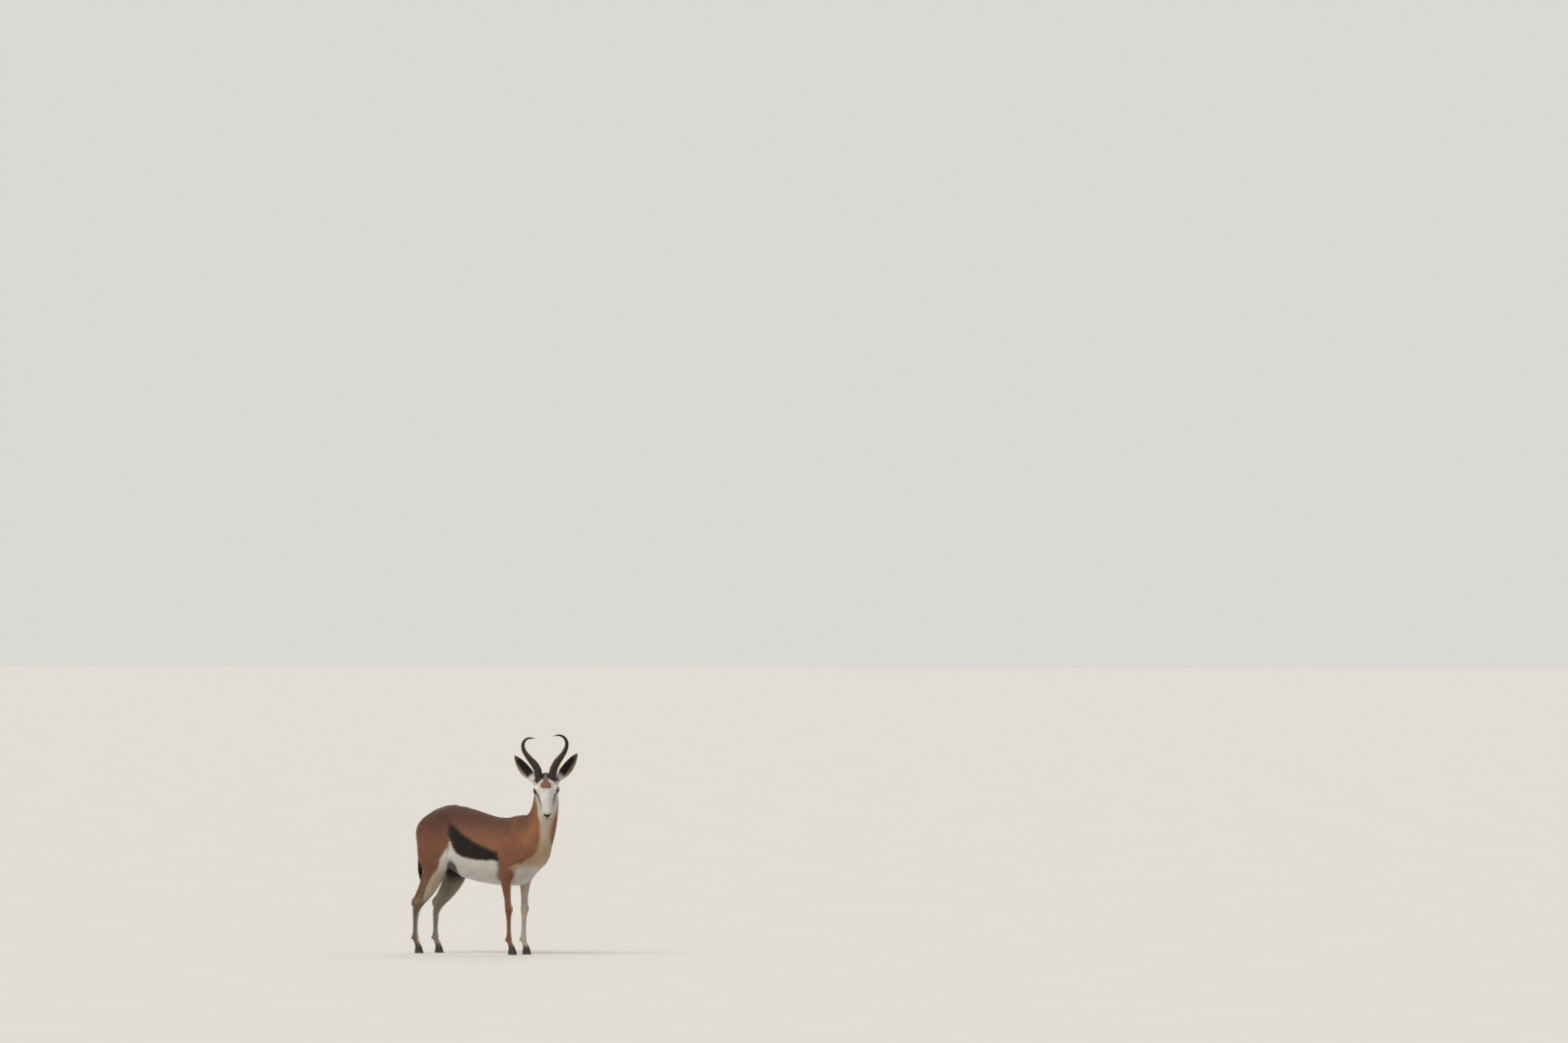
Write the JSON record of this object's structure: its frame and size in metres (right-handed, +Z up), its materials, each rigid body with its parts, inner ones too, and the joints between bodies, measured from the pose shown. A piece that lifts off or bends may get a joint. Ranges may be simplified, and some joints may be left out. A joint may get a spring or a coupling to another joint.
{
  "type": "springbok model",
  "caption": "Life-size still model of a springbok ram standing on four hooves, head turned to its right, with ringed lyre horns.",
  "frame": {"origin": "on the ground, under the middle of the whole animal", "axes": "+Z up, +X from the rump to the chest, +Y to the animal's left"},
  "size_m": [1.033, 0.2842, 1.1691],
  "materials": {
    "coat_tawny": "short flat reddish-brown coat",
    "coat_face": "short flat white coat of the face",
    "coat_white": "short white coat of the tail",
    "ear": "thin haired skin",
    "eye": "wet dark brown",
    "horn": "dark ringed horn, smooth at the tips",
    "hoof": "black hoof horn, satin",
    "tuft": "long black hair"
  },
  "bodies": {
    "root": {"ear_left": "ear", "ear_right": "ear", "eye_left": "eye", "eye_right": "eye", "forehoof_left": "hoof", "forehoof_right": "hoof", "foreleg_lower_left": "coat_tawny", "foreleg_lower_right": "coat_tawny", "foreleg_upper_left": "coat_tawny", "foreleg_upper_right": "coat_tawny", "head": "coat_face", "hindhoof_left": "hoof", "hindhoof_right": "hoof", "hindleg_lower_left": "coat_tawny", "hindleg_lower_right": "coat_tawny", "hindleg_upper_left": "coat_tawny", "hindleg_upper_right": "coat_tawny", "horn_left": "horn", "horn_right": "horn", "neck": "coat_tawny", "rump": "coat_tawny", "tail": "coat_white", "tail_tuft": "tuft", "torso": "coat_tawny"}
  },
  "joints": []
}
